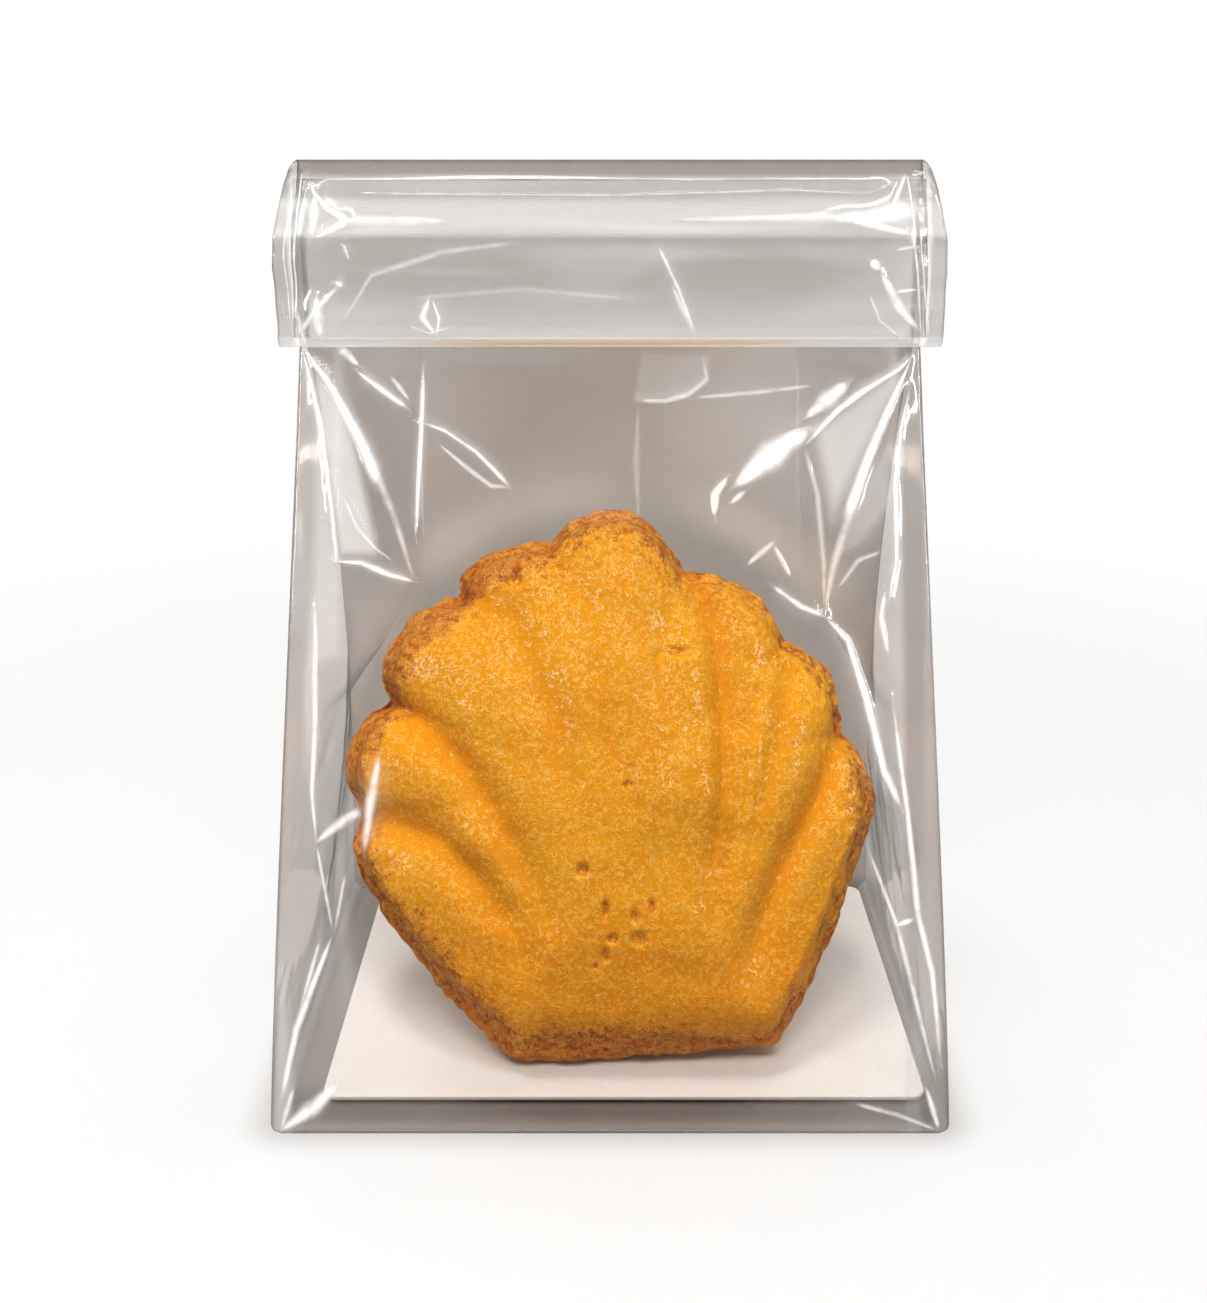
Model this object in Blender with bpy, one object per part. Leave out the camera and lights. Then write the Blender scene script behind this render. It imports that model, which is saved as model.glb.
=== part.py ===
"""Madeleine cake in its clear gusseted bag, as the solid that the shut bag fills.

The bag stands on its block bottom. +Z is up, the front panel faces -Y, and the
origin is the middle of the base. Lengths are in metres.
"""

import bmesh
import bpy
from math import cos, pi, sin

# Driving dimensions
BAG_WIDTH = 0.085  # along the front edge of the base
GUSSET_DEPTH = 0.062  # front edge to back edge of the base
NECK_HEIGHT = 0.095  # where the front and back panels meet, just under the folded header
BAG_HEIGHT = 0.118  # base to the fold of the header

NECK_WIDTH = 0.0796
NECK_FRONT = -0.001  # where each panel ends at the neck, along Y
NECK_BACK = 0.003
FRONT_LEAN = 1.35  # power of the height by which each panel leans in
BACK_LEAN = 2.2
TAPER = 1.6
PANEL_CROWN = 0.0022  # how far the middle of a panel stands out, at half height

GUSSET_START = 0.0115  # height at which each side starts to fold in
GUSSET_KNEE = 0.062
KNEE_FOLD = 0.0143  # how far the fold line lies inside the panels' edges, at the knee
NECK_FOLD = 0.0158

BASE_EDGE_RADIUS = 0.0008

HEADER_WIDTH = 0.0826
HEADER_FRONT = -0.0066  # front face of the folded header, along Y
HEADER_BACK = 0.0038
HEADER_LIP_FRONT = -0.0052  # the header draws in towards its lower lip
HEADER_TOP_DRAW_IN = 0.0012  # how much shorter each end is at the fold than at the lip

RINGS = 22
PANEL_STEPS = 8  # spans across the front panel, and across the back one
SIDE_STEPS = 3  # spans on each half of a gusset
NECK_RUN_IN = 0.012  # how far the body runs up into the header
HEADER_ARC_STEPS = 10
HEADER_SPANS = 6

FILM_COLOUR = (0.62, 0.59, 0.56, 1.0)
FILM_ROUGHNESS = 0.12


def clear_scene():
    for obj in list(bpy.data.objects):
        bpy.data.objects.remove(obj, do_unlink=True)


def film_material():
    material = bpy.data.materials.new("clear_film")
    material.use_nodes = True
    shader = material.node_tree.nodes["Principled BSDF"]
    shader.inputs["Base Color"].default_value = FILM_COLOUR
    shader.inputs["Roughness"].default_value = FILM_ROUGHNESS
    shader.inputs["Metallic"].default_value = 0.0
    return material


def mix(a, b, share):
    return a + (b - a) * share


def half_width(share):
    """Half the width of the front and back panels at a share of the neck's height."""
    return mix(NECK_WIDTH, BAG_WIDTH, (1 - share) ** TAPER) / 2


def front_place(share):
    return mix(-GUSSET_DEPTH / 2, NECK_FRONT, share**FRONT_LEAN)


def back_place(share):
    return mix(GUSSET_DEPTH / 2, NECK_BACK, share**BACK_LEAN)


def fold_depth(height):
    """How far the gusset's fold line lies inside the panels' edges."""
    if height <= GUSSET_START:
        return 0.0
    if height <= GUSSET_KNEE:
        return KNEE_FOLD * (height - GUSSET_START) / (GUSSET_KNEE - GUSSET_START)
    above = (height - GUSSET_KNEE) / (NECK_HEIGHT - GUSSET_KNEE)
    return mix(KNEE_FOLD, NECK_FOLD, min(above, 1.0))


def outline(height):
    """The bag's outline at one height, anticlockwise seen from above, from the front left corner."""
    share = min(height / NECK_HEIGHT, 1.0)
    half = half_width(share)
    front, back = front_place(share), back_place(share)
    middle = (front + back) / 2
    inner = half - fold_depth(height)
    crown = PANEL_CROWN * sin(pi * share) ** 2
    points = []
    for step in range(PANEL_STEPS):
        across = step / PANEL_STEPS
        points.append((mix(-half, half, across), front - crown * sin(pi * across)))
    for step in range(SIDE_STEPS):
        along = step / SIDE_STEPS
        points.append((mix(half, inner, along), mix(front, middle, along)))
    for step in range(SIDE_STEPS):
        along = step / SIDE_STEPS
        points.append((mix(inner, half, along), mix(middle, back, along)))
    for step in range(PANEL_STEPS):
        across = step / PANEL_STEPS
        points.append((mix(half, -half, across), back + crown * sin(pi * across)))
    for step in range(SIDE_STEPS):
        along = step / SIDE_STEPS
        points.append((mix(-half, -inner, along), mix(back, middle, along)))
    for step in range(SIDE_STEPS):
        along = step / SIDE_STEPS
        points.append((mix(-inner, -half, along), mix(middle, front, along)))
    return points


def ring_of(mesh, points, height):
    verts = [mesh.verts.new((x, y, height)) for x, y in points]
    return [mesh.edges.new((a, b)) for a, b in zip(verts, verts[1:] + verts[:1])]


def body_mesh():
    """The body, lofted through its outlines from the base to just inside the header."""
    mesh = bmesh.new()
    top = NECK_HEIGHT + NECK_RUN_IN
    heights = [BASE_EDGE_RADIUS + (top - BASE_EDGE_RADIUS) * i / RINGS for i in range(RINGS + 1)]
    base = [shrunk(point, BASE_EDGE_RADIUS) for point in outline(0.0)]
    rings = [ring_of(mesh, base, 0.0)]
    rings += [ring_of(mesh, outline(height), height) for height in heights]
    for lower, upper in zip(rings, rings[1:]):
        bmesh.ops.bridge_loops(mesh, edges=lower + upper)
    for ring in (rings[0], rings[-1]):
        bmesh.ops.edgeloop_fill(mesh, edges=ring)
    bmesh.ops.recalc_face_normals(mesh, faces=mesh.faces)
    return mesh


def shrunk(point, by):
    """A point of the base, drawn in towards the middle by the radius of the base's edge."""
    x, y = point
    return (x - by * (x > 0) + by * (x < 0), y - by * (y > 0) + by * (y < 0))


def header_profile():
    """The folded header seen from its end: up the back, over the fold and down to the lip."""
    middle = (HEADER_FRONT + HEADER_BACK) / 2
    half = (HEADER_BACK - HEADER_FRONT) / 2
    points = [(HEADER_BACK - half / 2, NECK_HEIGHT), (HEADER_BACK, NECK_HEIGHT + half)]
    for step in range(HEADER_ARC_STEPS + 1):
        turn = pi * step / HEADER_ARC_STEPS
        points.append((middle + half * cos(turn), BAG_HEIGHT - half + half * sin(turn)))
    points.append((HEADER_LIP_FRONT, NECK_HEIGHT))
    return points


def header_mesh():
    """The header: its profile, drawn along X with ends that draw in a little towards the fold."""
    mesh = bmesh.new()
    profile = [mesh.verts.new((-HEADER_WIDTH / 2, y, z)) for y, z in header_profile()]
    face = mesh.faces.new(profile)
    for _ in range(HEADER_SPANS):
        grown = bmesh.ops.extrude_face_region(mesh, geom=[face])["geom"]
        moved = [item for item in grown if isinstance(item, bmesh.types.BMVert)]
        bmesh.ops.translate(mesh, verts=moved, vec=(HEADER_WIDTH / HEADER_SPANS, 0, 0))
        old, face = face, next(item for item in grown if isinstance(item, bmesh.types.BMFace))
        if old.verts[0].co.x > -HEADER_WIDTH / 2 + 1e-6:
            bmesh.ops.delete(mesh, geom=[old], context="FACES_ONLY")
    for vert in mesh.verts:
        share = (vert.co.z - NECK_HEIGHT) / (BAG_HEIGHT - NECK_HEIGHT)
        if abs(vert.co.x) > HEADER_WIDTH / 2 - 1e-6:
            vert.co.x -= (1 if vert.co.x > 0 else -1) * HEADER_TOP_DRAW_IN * share**3
    bmesh.ops.recalc_face_normals(mesh, faces=mesh.faces)
    return mesh


def object_from(mesh, name, collection):
    data = bpy.data.meshes.new(name)
    mesh.to_mesh(data)
    mesh.free()
    obj = bpy.data.objects.new(name, data)
    collection.objects.link(obj)
    return obj


def collection_named(name):
    collection = bpy.data.collections.new(name)
    bpy.context.scene.collection.children.link(collection)
    return collection


def main():
    clear_scene()
    parts = collection_named("madeleine_cake_in_bag")
    helpers = collection_named("helpers")
    bag = object_from(body_mesh(), "bag", parts)
    bag.data.materials.append(film_material())
    header = object_from(header_mesh(), "header_shape", helpers)
    header.hide_render = True
    header.display_type = "WIRE"
    join = bag.modifiers.new("join_header", "BOOLEAN")
    join.operation = "UNION"
    join.object = header
    bag.data.shade_smooth()
    bag.data.set_sharp_from_angle(angle=pi / 6)


main()
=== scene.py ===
import math

import bmesh
import bpy
import numpy as np
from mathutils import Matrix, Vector


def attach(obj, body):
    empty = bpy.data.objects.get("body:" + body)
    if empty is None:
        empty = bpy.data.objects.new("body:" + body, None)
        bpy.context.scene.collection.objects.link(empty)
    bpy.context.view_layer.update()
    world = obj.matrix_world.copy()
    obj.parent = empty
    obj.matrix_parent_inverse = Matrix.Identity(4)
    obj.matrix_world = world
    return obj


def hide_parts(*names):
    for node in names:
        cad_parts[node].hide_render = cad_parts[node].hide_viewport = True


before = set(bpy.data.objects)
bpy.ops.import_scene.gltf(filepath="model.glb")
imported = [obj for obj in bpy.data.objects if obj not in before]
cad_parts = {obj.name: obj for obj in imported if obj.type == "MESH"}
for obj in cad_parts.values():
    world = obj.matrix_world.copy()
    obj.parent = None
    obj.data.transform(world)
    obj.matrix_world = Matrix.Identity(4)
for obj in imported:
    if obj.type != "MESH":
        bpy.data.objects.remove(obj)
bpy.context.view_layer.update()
scene = bpy.context.scene
mm = 0.001


# Small helpers for nodes and meshes

def addNode(tree, kind, inputs=None, **settings):
    node = tree.nodes.new(kind)
    for key, value in settings.items():
        setattr(node, key, value)
    for socket, value in (inputs or {}).items():
        if isinstance(value, bpy.types.NodeSocket):
            tree.links.new(value, node.inputs[socket])
        else:
            node.inputs[socket].default_value = value
    return node


def newMaterial(name):
    material = bpy.data.materials.new(name)
    material.use_nodes = True
    material.node_tree.nodes.clear()
    return material, material.node_tree


def mathNode(tree, operation, first, second=0.5, third=0.5):
    inputs = {0: first, 1: second, 2: third}
    return addNode(tree, "ShaderNodeMath", inputs, operation=operation).outputs[0]


def stepNode(tree, value, low, high, toLow=0.0, toHigh=1.0):
    inputs = {"Value": value, "From Min": low, "From Max": high, "To Min": toLow, "To Max": toHigh}
    return addNode(tree, "ShaderNodeMapRange", inputs, interpolation_type="SMOOTHSTEP").outputs[0]


def mixColour(tree, share, first, second, blend="MIX"):
    node = addNode(tree, "ShaderNodeMix", data_type="RGBA", blend_type=blend)
    for index, value in ((0, share), (6, first), (7, second)):
        if isinstance(value, bpy.types.NodeSocket):
            tree.links.new(value, node.inputs[index])
        else:
            node.inputs[index].default_value = value
    return node.outputs[2]


def millimetreCoordinates(tree):
    coordinates = addNode(tree, "ShaderNodeTexCoord")
    inputs = {"Vector": coordinates.outputs["Object"], "Scale": (1000, 1000, 1000)}
    return addNode(tree, "ShaderNodeMapping", inputs).outputs[0]


def pieceFrom(bm, name, material):
    mesh = bpy.data.meshes.new(name)
    bm.to_mesh(mesh)
    bm.free()
    mesh.polygons.foreach_set("use_smooth", [True] * len(mesh.polygons))
    piece = bpy.data.objects.new(name, mesh)
    scene.collection.objects.link(piece)
    piece.data.materials.append(material)
    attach(piece, "root")
    return piece


def placesOf(mesh):
    places = np.empty(len(mesh.vertices) * 3)
    mesh.vertices.foreach_get("co", places)
    return places.reshape(-1, 3)


def setPlaces(mesh, places):
    mesh.vertices.foreach_set("co", places.ravel())
    mesh.update()


def setMark(mesh, name, values):
    mark = mesh.attributes.new(name, "FLOAT", "POINT")
    mark.data.foreach_set("value", values.astype(np.float32))


def smoothRise(values, low, high):
    share = np.clip((values - low) / (high - low), 0, 1)
    return share * share * (3 - 2 * share)


def waviness(places, grain, seed, count=18):
    # soft noise of about -1 to 1, with lumps of the size of the grain: a sum of waves in seeded directions
    source = np.random.default_rng(seed)
    directions = source.normal(size=(3, count))
    directions *= source.uniform(0.65, 1.5, count) / np.linalg.norm(directions, axis=0)
    phases = source.uniform(0, 2 * math.pi, count)
    return np.sin(places @ directions * (math.pi / grain) + phases).sum(axis=1) / math.sqrt(count) * 0.9


def crumple(places, grain, seed):
    # facets that meet in sharp creases
    first = 1 - 2 * np.abs(waviness(places, grain, seed))
    second = 1 - 2 * np.abs(waviness(places, grain * 0.55, seed + 1))
    return 0.65 * first + 0.35 * second


def distanceToLine(across, up, corners):
    # distance to a line through the corners, and how far along it the nearest point is, 0 to 1
    nearest = np.full(across.shape, 1e9)
    along = np.zeros(across.shape)
    lengths = [math.dist(a, b) for a, b in zip(corners, corners[1:])]
    passed = 0.0
    for (ax, ay), (bx, by), length in zip(corners, corners[1:], lengths):
        share = ((across - ax) * (bx - ax) + (up - ay) * (by - ay)) / length**2
        share = np.clip(share, 0, 1)
        distance = np.hypot(across - ax - share * (bx - ax), up - ay - share * (by - ay))
        closer = distance < nearest
        nearest = np.where(closer, distance, nearest)
        along = np.where(closer, (passed + share * length) / sum(lengths), along)
        passed += length
    return nearest, along


def sideOfLine(across, up, corners):
    # 1 or -1 by the side of the nearest stretch of a line through the corners
    side = np.ones(across.shape)
    best = np.full(across.shape, 1e9)
    for (ax, ay), (bx, by) in zip(corners, corners[1:]):
        share = ((across - ax) * (bx - ax) + (up - ay) * (by - ay)) / math.dist((ax, ay), (bx, by)) ** 2
        share = np.clip(share, 0, 1)
        gap = np.hypot(across - ax - share * (bx - ax), up - ay - share * (by - ay))
        cross = (bx - ax) * (up - ay) - (by - ay) * (across - ax)
        side = np.where(gap < best - 1e-9, np.sign(cross), side)
        best = np.minimum(best, gap)
    return side


# Camera

cameraSet = dict(lens=40.06, back=186.56, height=121.41, lookDown=15.09, shiftX=-0.005, shiftY=-0.1)


def makeCamera():
    camera = bpy.data.objects.new("camera", bpy.data.cameras.new("camera"))
    scene.collection.objects.link(camera)
    camera.data.lens = cameraSet["lens"]
    camera.data.sensor_width = 36
    camera.data.shift_x = cameraSet["shiftX"]
    camera.data.shift_y = cameraSet["shiftY"]
    camera.data.clip_start = 0.01
    camera.location = (0, -cameraSet["back"] * mm, cameraSet["height"] * mm)
    camera.rotation_euler = (math.radians(90 - cameraSet["lookDown"]), 0, 0)
    scene.camera = camera


# Studio: each softbox is given by where it stands, its width and height in metres and its power

studioSet = dict(
    whiteGiven=0.62,
    whiteReflected=0.26,
    floorRadius=0.3,
    contactShade=0.42,
    floorColour=(0.425, 0.423, 0.421, 1),
    # place, width, height, power, and whether it lights matt things and whether the film mirrors it
    softboxes=[
        ((0.0, -0.56, 0.86), 0.62, 0.26, 11.8, True, False),   # front, above the lens
        ((0.0, -0.56, 0.86), 0.62, 0.26, 7.0, False, True),    # the film's share of it
        ((-0.14, -0.08, 0.90), 0.18, 0.15, 5.2, True, False),  # overhead
        ((0.0, -0.40, 0.98), 0.50, 0.10, 3.0, False, True),    # dimmer strip over it
        ((-0.62, -0.52, 0.48), 0.10, 0.42, 9.0, False, True),  # left of the lens
        ((0.62, -0.52, 0.48), 0.10, 0.42, 9.0, False, True),   # right of the lens
        ((-0.34, 0.42, 0.62), 0.22, 0.3, 1.3, True, True),     # behind, left
        ((0.36, 0.40, 0.62), 0.22, 0.3, 1.0, True, True),      # behind, right
    ],
)


def makeStudio():
    world = bpy.data.worlds.new("studio white")
    scene.world = world
    world.use_nodes = True
    tree = world.node_tree
    tree.nodes.clear()
    path = addNode(tree, "ShaderNodeLightPath")
    given = stepNode(
        tree, path.outputs["Is Glossy Ray"], 0, 1, studioSet["whiteGiven"], studioSet["whiteReflected"]
    )
    strength = mathNode(tree, "MAXIMUM", given, path.outputs["Is Camera Ray"])
    white = addNode(tree, "ShaderNodeBackground", {"Color": (1, 1, 1, 1), "Strength": strength})
    addNode(tree, "ShaderNodeOutputWorld", {"Surface": white.outputs[0]})

    bm = bmesh.new()
    bmesh.ops.create_circle(bm, cap_ends=True, segments=96, radius=studioSet["floorRadius"])
    mesh = bpy.data.meshes.new("floor")
    bm.to_mesh(mesh)
    bm.free()
    floor = bpy.data.objects.new("floor", mesh)
    scene.collection.objects.link(floor)
    material, tree = newMaterial("pale floor")
    coordinates = addNode(tree, "ShaderNodeTexCoord").outputs["Object"]
    reach = addNode(tree, "ShaderNodeVectorMath", {0: coordinates}, operation="LENGTH").outputs["Value"]
    fade = stepNode(tree, reach, 0.09, studioSet["floorRadius"] * 0.95)
    # painted contact shadow: the floor's colour darkens where the bag stands on it
    sides = addNode(tree, "ShaderNodeVectorMath", {0: coordinates}, operation="ABSOLUTE").outputs["Vector"]
    gap = addNode(tree, "ShaderNodeVectorMath", {0: sides, 1: (0.040, 0.028, 0)}, operation="SUBTRACT")
    gap = addNode(tree, "ShaderNodeVectorMath", {0: gap.outputs[0], 1: (0, 0, 0)}, operation="MAXIMUM")
    gap = addNode(tree, "ShaderNodeVectorMath", {0: gap.outputs[0]}, operation="LENGTH").outputs["Value"]
    shade = stepNode(tree, gap, 0.001, 0.0085, studioSet["contactShade"], 0.0)
    floorColour = mixColour(tree, shade, studioSet["floorColour"], (0.1, 0.085, 0.075, 1))
    matte = addNode(tree, "ShaderNodeBsdfDiffuse", {"Color": floorColour})
    clear = addNode(tree, "ShaderNodeBsdfTransparent")
    mixed = addNode(tree, "ShaderNodeMixShader", {0: fade, 1: matte.outputs[0], 2: clear.outputs[0]})
    addNode(tree, "ShaderNodeOutputMaterial", {"Surface": mixed.outputs[0]})
    mesh.materials.append(material)
    floor.visible_glossy = False

    for index, (place, width, height, power, lights, mirrored) in enumerate(studioSet["softboxes"]):
        light = bpy.data.lights.new("softbox " + str(index + 1), "AREA")
        light.shape = "RECTANGLE"
        light.size = width
        light.size_y = height
        light.energy = power
        softbox = bpy.data.objects.new(light.name, light)
        scene.collection.objects.link(softbox)
        softbox.location = place
        softbox.rotation_euler = (Vector(place) - Vector((0, 0, 0.05))).to_track_quat("Z", "Y").to_euler()
        softbox.visible_camera = False
        softbox.visible_diffuse = lights
        softbox.visible_glossy = mirrored

    scene.view_settings.view_transform = "Standard"
    scene.cycles.transparent_max_bounces = 32
    scene.cycles.max_bounces = 4
    scene.cycles.diffuse_bounces = 2
    scene.cycles.glossy_bounces = 1
    scene.cycles.adaptive_threshold = 0.05
    print("camera and studio ready")


# Madeleine: the cake has its own plane, across and up it, and thickness towards the front, all in mm

cakeSet = dict(
    lean=25.0,          # degrees that it leans back
    footY=-19.0,        # where its plane meets the floor
    centreUp=36.0,
    faceShare=0.66,     # share of the mesh rings that are on the face
    domeHeight=12.4,
    lipHeight=1.5,
    wallHeight=3.0,
    endWallHeight=6.6,
    backHeight=8.5,
    restHeight=1.22,    # top of the card
    seed=4,
)

# corners of the outline, clockwise from the foot's left end: across, up, how far the edge to the next one
# bulges, and where along it the bulge is greatest
cakeOutline = [
    (-12.0, 1.6, 0.5, 0.5),
    (-14.9, 3.5, 1.4, 0.5),
    (-34.5, 27.0, 0.7, 0.5),
    (-34.1, 34.1, 4.0, 0.5),
    (-30.5, 49.4, 4.6, 0.45),
    (-20.9, 63.8, 3.3, 0.35),
    (-8.4, 71.3, 6.8, 0.47),
    (10.5, 67.3, 2.9, 0.5),
    (24.8, 57.5, 2.7, 0.5),
    (31.9, 44.9, 2.9, 0.5),
    (34.5, 29.7, 0.8, 0.5),
    (22.7, 3.9, 0.5, 0.5),
]

# grooves between the ribs, from the rim in: places, depth, width of the left and right banks
cakeGrooves = [
    ([(-34.6, 33), (-29.3, 33), (-22.6, 30.6), (-17.4, 25.6), (-12.8, 20), (-8.6, 13)], 2.8, 3.2, 3.0),
    ([(-31.2, 49.4), (-26, 46.6), (-19.6, 40.6), (-15.6, 35.2), (-11.8, 28.4), (-8.6, 22.4), (-5.8, 16)], 2.3, 3.2, 2.8),
    ([(-21.6, 65), (-13, 59.5), (-7.2, 46.8), (-4.3, 35.6), (-2, 27)], 1.2, 3.0, 3.0),
    ([(-8.6, 72.5), (-3, 62), (-0.7, 48), (0, 31.5), (2, 22)], 0.8, 2.4, 2.4),
    ([(2.8, 40), (3.9, 29.3), (4.9, 21.8)], 0.4, 0.6, 0.6),
    ([(6.5, 55), (7.2, 45.4), (7.3, 35.6), (6.7, 25.9)], 0.5, 0.9, 0.9),
    ([(10.5, 68.5), (14.2, 57.6), (15, 46.8), (14.9, 36.3), (13.2, 25.9), (11.2, 15)], 1.75, 1.6, 2.8),
    ([(19.5, 50), (18.6, 44.7), (17.4, 35.6), (15.2, 27.3), (14, 19)], 0.7, 1.1, 1.1),
    ([(25.4, 58.5), (24.5, 54), (23, 46.8), (20.6, 38.4), (17.6, 29.3), (15.4, 21.8)], 1.0, 1.8, 2.0),
    ([(32.6, 45.6), (30.7, 43.3), (27, 34.9), (22.5, 26.6), (19.5, 19.8), (16.8, 12)], 2.1, 2.4, 2.6),
]

# how far in the browned border reaches, by the direction from the cake's middle in degrees:
# direction, width in mm, how brown, and the share of the width over which it stays brown
cakeBorder = [
    (-180, 5.2, 0.9, 0.15),
    (-165, 5.6, 0.9, 0.05),
    (-140, 8.5, 0.85, 0.0),
    (-112, 6.0, 0.9, 0.1),
    (-82, 7.5, 1.0, 0.1),
    (-60, 5.5, 1.0, 0.1),
    (-33, 3.2, 0.9, 0.15),
    (-10, 3.4, 0.85, 0.2),
    (5, 5.6, 0.8, 0.15),
    (18, 3.4, 0.8, 0.15),
    (28, 3.2, 0.65, 0.3),
    (42, 2.8, 0.65, 0.2),
    (58, 3.0, 0.5, 0.1),
    (70, 3.0, 0.7, 0.2),
    (82, 6.8, 0.9, 0.2),
    (98, 6.4, 0.95, 0.25),
    (104, 5.6, 0.9, 0.25),
    (115, 7.8, 0.95, 0.4),
    (127, 5.2, 0.95, 0.35),
    (141, 7.8, 0.95, 0.4),
    (154, 5.2, 0.9, 0.35),
    (168, 6.0, 0.9, 0.3),
    (180, 5.2, 0.9, 0.15),
]

# open pores on the face: across, up, half width, half height, depth
cakePores = [
    (-3.5, 27.1, 0.75, 0.75, 1.2),
    (-0.6, 22.1, 0.4, 1.2, 1.3),
    (3.2, 21.3, 0.5, 0.8, 0.9),
    (3.8, 18.4, 0.85, 0.8, 1.2),
    (0.3, 18.4, 0.7, 0.6, 1.0),
    (-0.6, 16.3, 0.45, 0.9, 1.1),
    (-1.9, 14.9, 0.4, 0.4, 0.7),
    (5.4, 22.5, 0.4, 0.9, 0.8),
    (9.0, 55.4, 1.3, 0.7, 0.8),
    (2.3, 37.9, 0.7, 0.5, 0.6),
    (-13.1, 65.2, 1.4, 0.8, 1.0),
]


def outlineRadii(angles):
    # the outline as a radius for each angle round the cake's centre
    corners = cakeOutline + cakeOutline[:1]
    found = []
    for (ax, ay, bulge, peak), (bx, by, _, _) in zip(corners, corners[1:]):
        length = math.dist((ax, ay), (bx, by))
        outX = -(by - ay) / length
        outY = (bx - ax) / length
        for step in range(40):
            share = step / 40
            skewed = share ** (math.log(0.5) / math.log(peak))
            swell = bulge * math.sin(math.pi * skewed) ** 0.75
            x = ax + (bx - ax) * share + outX * swell
            y = ay + (by - ay) * share + outY * swell - cakeSet["centreUp"]
            found.append((math.atan2(y, x), math.hypot(x, y)))
    found.sort()
    knownAngles = np.array([angle for angle, _ in found])
    radii = np.array([radius for _, radius in found])
    fine = np.linspace(-math.pi, math.pi, 1441)
    fineRadii = np.interp(fine, knownAngles, radii, period=2 * math.pi)[:-1]
    blurred = sum(np.roll(fineRadii, step) for step in range(-3, 4)) / 7
    return np.interp(angles, fine[:-1], blurred, period=2 * math.pi)


def cakeShape(across, up, inward, radius, onBack):
    # thickness of the cake at places on its plane; inward is the distance from the rim
    share = 1 - inward / radius
    foot = smoothRise(-up, -16, -3)
    lower = smoothRise(-up, -34, -10)
    wallHeight = cakeSet["wallHeight"] + (cakeSet["endWallHeight"] - cakeSet["wallHeight"]) * foot
    wallWidth = 2.6 + 0.6 * lower
    face = cakeSet["lipHeight"] * smoothRise(inward, -0.4, 0.8)
    rounded = np.sin(np.clip(inward / 13, 0, 1) * math.pi / 2) ** 0.85
    face += wallHeight * (smoothRise(inward, 0.6, 0.6 + wallWidth) * (1 - foot) + rounded * foot)
    rest = cakeSet["domeHeight"] - cakeSet["lipHeight"] - wallHeight
    face += rest * (1 - share**2.3)

    grooveMark = np.zeros(across.shape)
    for places, depth, leftWidth, rightWidth in cakeGrooves:
        distance, along = distanceToLine(across, up, places)
        nearest = np.interp(up, [p[1] for p in reversed(places)], [p[0] for p in reversed(places)])
        width = np.where(across < nearest, leftWidth, rightWidth)
        fade = 1 - smoothRise(along, 0.45, 1.05)
        narrow = np.exp(-(np.sqrt(distance**2 + 0.36) - 0.6) / width)
        cut = (0.3 * narrow + 0.7 * np.exp(-((distance / (0.85 * width)) ** 2))) * (0.15 + 0.85 * fade)
        cut = cut * smoothRise(1 - along, 0.0, 0.12)
        face -= depth * cut
        mark = np.exp(-((distance / (0.6 * width)) ** 2)) * (0.15 + 0.85 * fade)
        grooveMark = np.maximum(grooveMark, mark * min(1.0, depth / 1.8))

    poreMark = np.zeros(across.shape)
    for x, y, halfWidth, halfHeight, depth in cakePores:
        inside = ((across - x) / halfWidth) ** 2 + ((up - y) / halfHeight) ** 2
        pit = np.exp(-(inside**1.6))
        face -= 0.8 * depth * pit
        poreMark = np.maximum(poreMark, pit)

    back = -3.2 * smoothRise(inward, -0.6, 1.6)
    back -= (cakeSet["backHeight"] - 3.2) * (1 - share**2.0)
    height = np.where(onBack, back, np.maximum(face, 0.0))
    return height, np.where(onBack, 0, grooveMark), np.where(onBack, 0, poreMark)


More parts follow.
